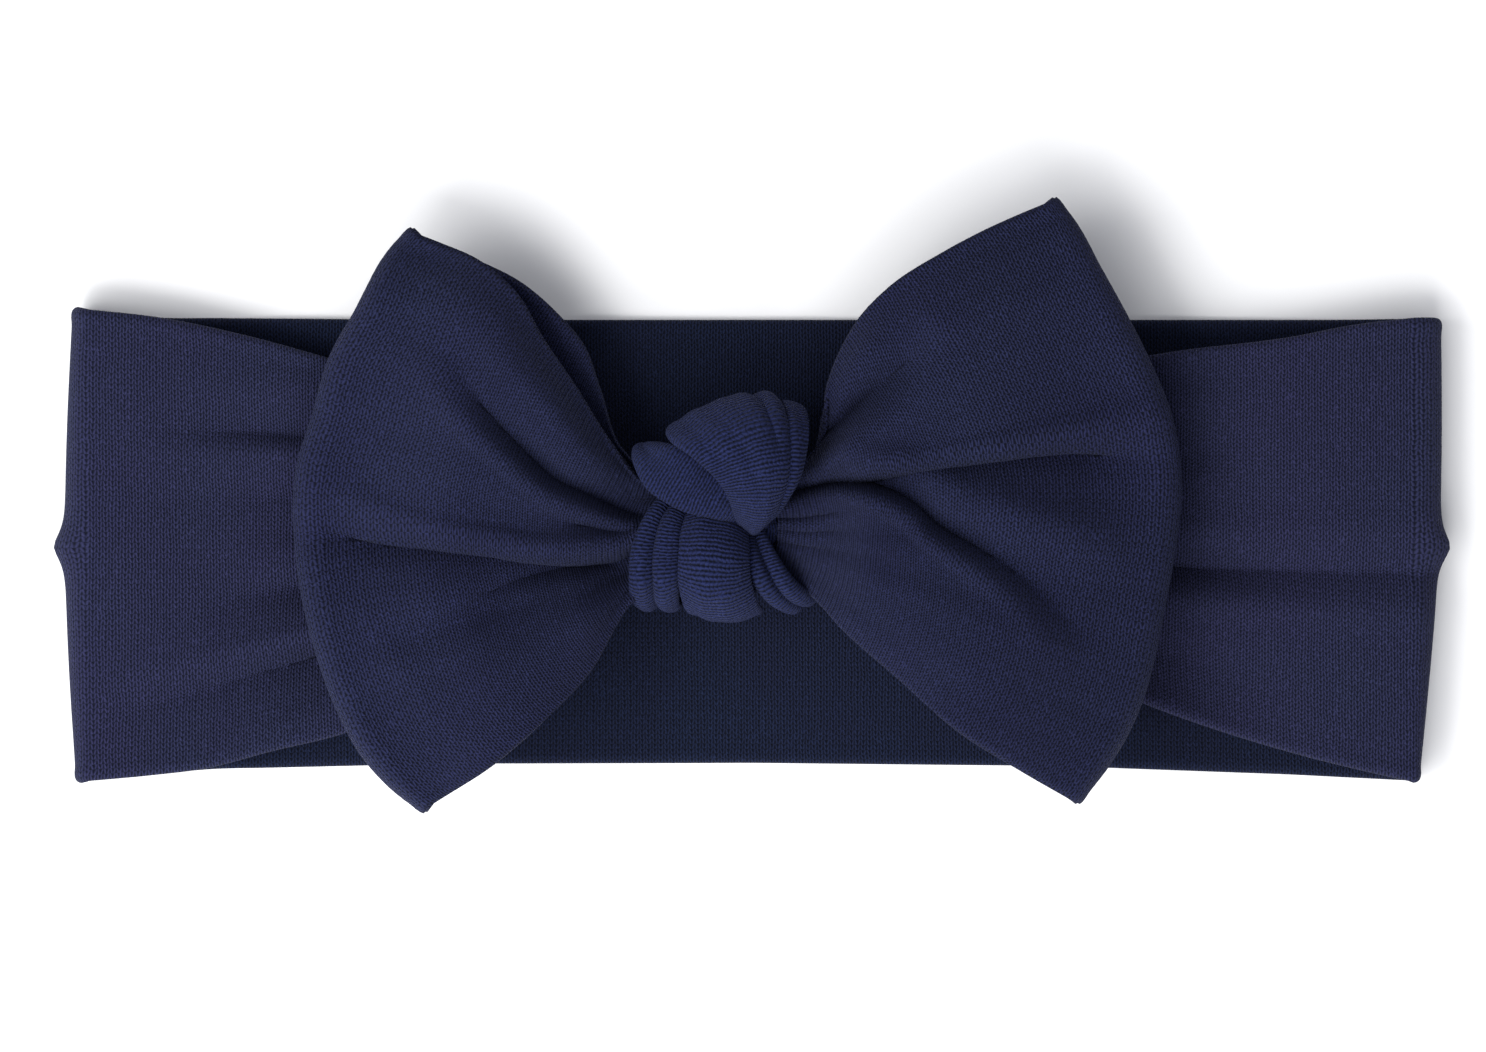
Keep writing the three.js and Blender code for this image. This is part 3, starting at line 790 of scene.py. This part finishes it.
def stitch_tree(material):
    """A row of zigzag stitches from Start to End, one each Pitch. Half Bite is how far a stitch reaches to
    each side of the row."""
    slant = 0.45  # radians, of every stitch one way or the other
    tree = bpy.data.node_groups.new("stitch_row", "GeometryNodeTree")
    for label, kind, value in (
            ("Start", "NodeSocketVector", (0, 0, 0)), ("End", "NodeSocketVector", (0, 1, 0)),
            ("Pitch", "NodeSocketFloat", 0.001), ("Half Bite", "NodeSocketFloat", 0.001),
            ("Thread Radius", "NodeSocketFloat", 0.0002)):
        tree.interface.new_socket(label, in_out="INPUT", socket_type=kind).default_value = value
    tree.interface.new_socket("Geometry", in_out="OUTPUT", socket_type="NodeSocketGeometry")
    given = node(tree, "NodeGroupInput").outputs
    line = node(tree, "GeometryNodeCurvePrimitiveLine", None,
                {"Start": given["Start"], "End": given["End"]})
    spots = node(tree, "GeometryNodeCurveToPoints", {"mode": "LENGTH"},
                 {"Curve": line.outputs[0], "Length": given["Pitch"]})
    half = maths(tree, "MULTIPLY", given["Half Bite"], -1.0)
    bite = node(tree, "GeometryNodeCurvePrimitiveLine", None,
                {"Start": node(tree, "ShaderNodeCombineXYZ", None, {0: half}).outputs[0],
                 "End": node(tree, "ShaderNodeCombineXYZ", None, {0: given["Half Bite"]}).outputs[0]})
    ring = node(tree, "GeometryNodeCurvePrimitiveCircle", None,
                {"Resolution": 8, "Radius": given["Thread Radius"]})
    tube = node(tree, "GeometryNodeCurveToMesh", None,
                {"Curve": bite.outputs[0], "Profile Curve": ring.outputs[0], "Fill Caps": True})
    index = node(tree, "GeometryNodeInputIndex").outputs[0]
    way = maths(tree, "MULTIPLY_ADD", maths(tree, "MODULO", index, 2.0), 2 * slant, -slant)
    turned = node(tree, "ShaderNodeCombineXYZ", None, {2: way}).outputs[0]
    placed = node(tree, "GeometryNodeInstanceOnPoints", None,
                  {"Points": spots.outputs["Points"], "Instance": tube.outputs[0], "Rotation": turned})
    real = node(tree, "GeometryNodeRealizeInstances", None, {0: placed.outputs[0]})
    done = node(tree, "GeometryNodeSetMaterial", None,
                {"Geometry": real.outputs[0], "Material": material})
    node(tree, "NodeGroupOutput", None, {0: done.outputs[0]})
    return tree


def stitch_row(name, tree, values):
    """The stitches of one row as a plain mesh."""
    holder = bpy.data.objects.new(name, bpy.data.meshes.new(name))
    bpy.context.scene.collection.objects.link(holder)
    modifier = holder.modifiers.new("stitches", "NODES")
    modifier.node_group = tree
    sockets = {item.name: item.identifier for item in tree.interface.items_tree
               if item.item_type == "SOCKET"}
    for label, value in values.items():
        modifier[sockets[label]] = value
    evaluated = holder.evaluated_get(bpy.context.evaluated_depsgraph_get())
    mesh = bpy.data.meshes.new_from_object(evaluated)
    bpy.data.objects.remove(holder)
    piece = bpy.data.objects.new(name, mesh)
    bpy.context.scene.collection.objects.link(piece)
    return piece


THREAD_RADIUS = 0.2
stitches = stitch_tree(thread_material())
for name, x, low, high, z, pitch, half_bite in (
        ("band_join_seam", -3.8, -9.0, 5.0, 9.0, 0.9, 1.2),
        ("knot_left_tack_stitch", -10.5, -4.6, 2.6, 10.6, 0.8, 0.7),
        ("knot_right_tack_stitch", 2.9, -4.6, 4.2, 10.6, 0.8, 0.7)):
    row = stitch_row(f"{name}_thread", stitches, {
        "Start": [x * MM, low * MM, z * MM], "End": [x * MM, high * MM, z * MM], "Pitch": pitch * MM,
        "Half Bite": half_bite * MM, "Thread Radius": THREAD_RADIUS * MM})
    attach(row, "knot")
    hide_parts(name)


# ---------------------------------------------------------------- floor, light and camera

def make_stage():
    """A plain floor of white paper."""
    mesh = bpy.data.meshes.new("floor")
    half = 3.0  # metres
    mesh.from_pydata([(-half, -half, 0), (half, -half, 0), (half, half, 0), (-half, half, 0)], [],
                     [(0, 1, 2, 3)])
    material = bpy.data.materials.new("white_paper_sweep")  # matt, so it takes only a soft shadow
    material.use_nodes = True
    shader = material.node_tree.nodes["Principled BSDF"]
    shader.inputs["Base Color"].default_value = srgb("#f4f4f4")
    shader.inputs["Roughness"].default_value = 0.9
    mesh.materials.append(material)
    floor = bpy.data.objects.new("floor", mesh)
    bpy.context.scene.collection.objects.link(floor)
    floor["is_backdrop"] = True


def softbox(name, place, size, power):
    """A square area light that looks at the middle of the headband."""
    light = bpy.data.lights.new(name, "AREA")
    light.shape = "SQUARE"
    light.size = size
    light.energy = power
    lamp = bpy.data.objects.new(name, light)
    lamp.location = place
    lamp.rotation_mode = "QUATERNION"
    lamp.rotation_quaternion = (Vector((0, 0, 0.01)) - Vector(place)).to_track_quat("-Z", "Y")
    bpy.context.scene.collection.objects.link(lamp)


# A wide soft light from in front and above, a weaker one from the left, and a faint cool fill all round.
# Places and sizes are in metres, powers in watts.
make_stage()
softbox("key_light", (-0.14, -0.52, 0.6), 0.66, 7.2)
softbox("left_light", (-0.36, -0.1, 0.46), 0.4, 2.75)
world = bpy.data.worlds.new("studio")
world.use_nodes = True
world.node_tree.nodes["Background"].inputs["Color"].default_value = srgb("#f5f7ff")
world.node_tree.nodes["Background"].inputs["Strength"].default_value = 0.5
bpy.context.scene.world = world
bpy.context.scene.view_settings.view_transform = "Standard"

LENS, SENSOR = 200.0, 36.0
VIEW_WIDTH = 191.5  # across the picture, at the height of the bow
VIEW_CENTRE = (-0.97, -2.64)
BOW_HEIGHT = 12.0
camera_z = BOW_HEIGHT + VIEW_WIDTH * LENS / SENSOR
camera_data = bpy.data.cameras.new("camera")
camera_data.lens, camera_data.sensor_width = LENS, SENSOR
camera = bpy.data.objects.new("camera", camera_data)
camera.location = (VIEW_CENTRE[0] * MM, VIEW_CENTRE[1] * MM, camera_z * MM)
bpy.context.scene.collection.objects.link(camera)
bpy.context.scene.camera = camera

low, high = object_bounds()
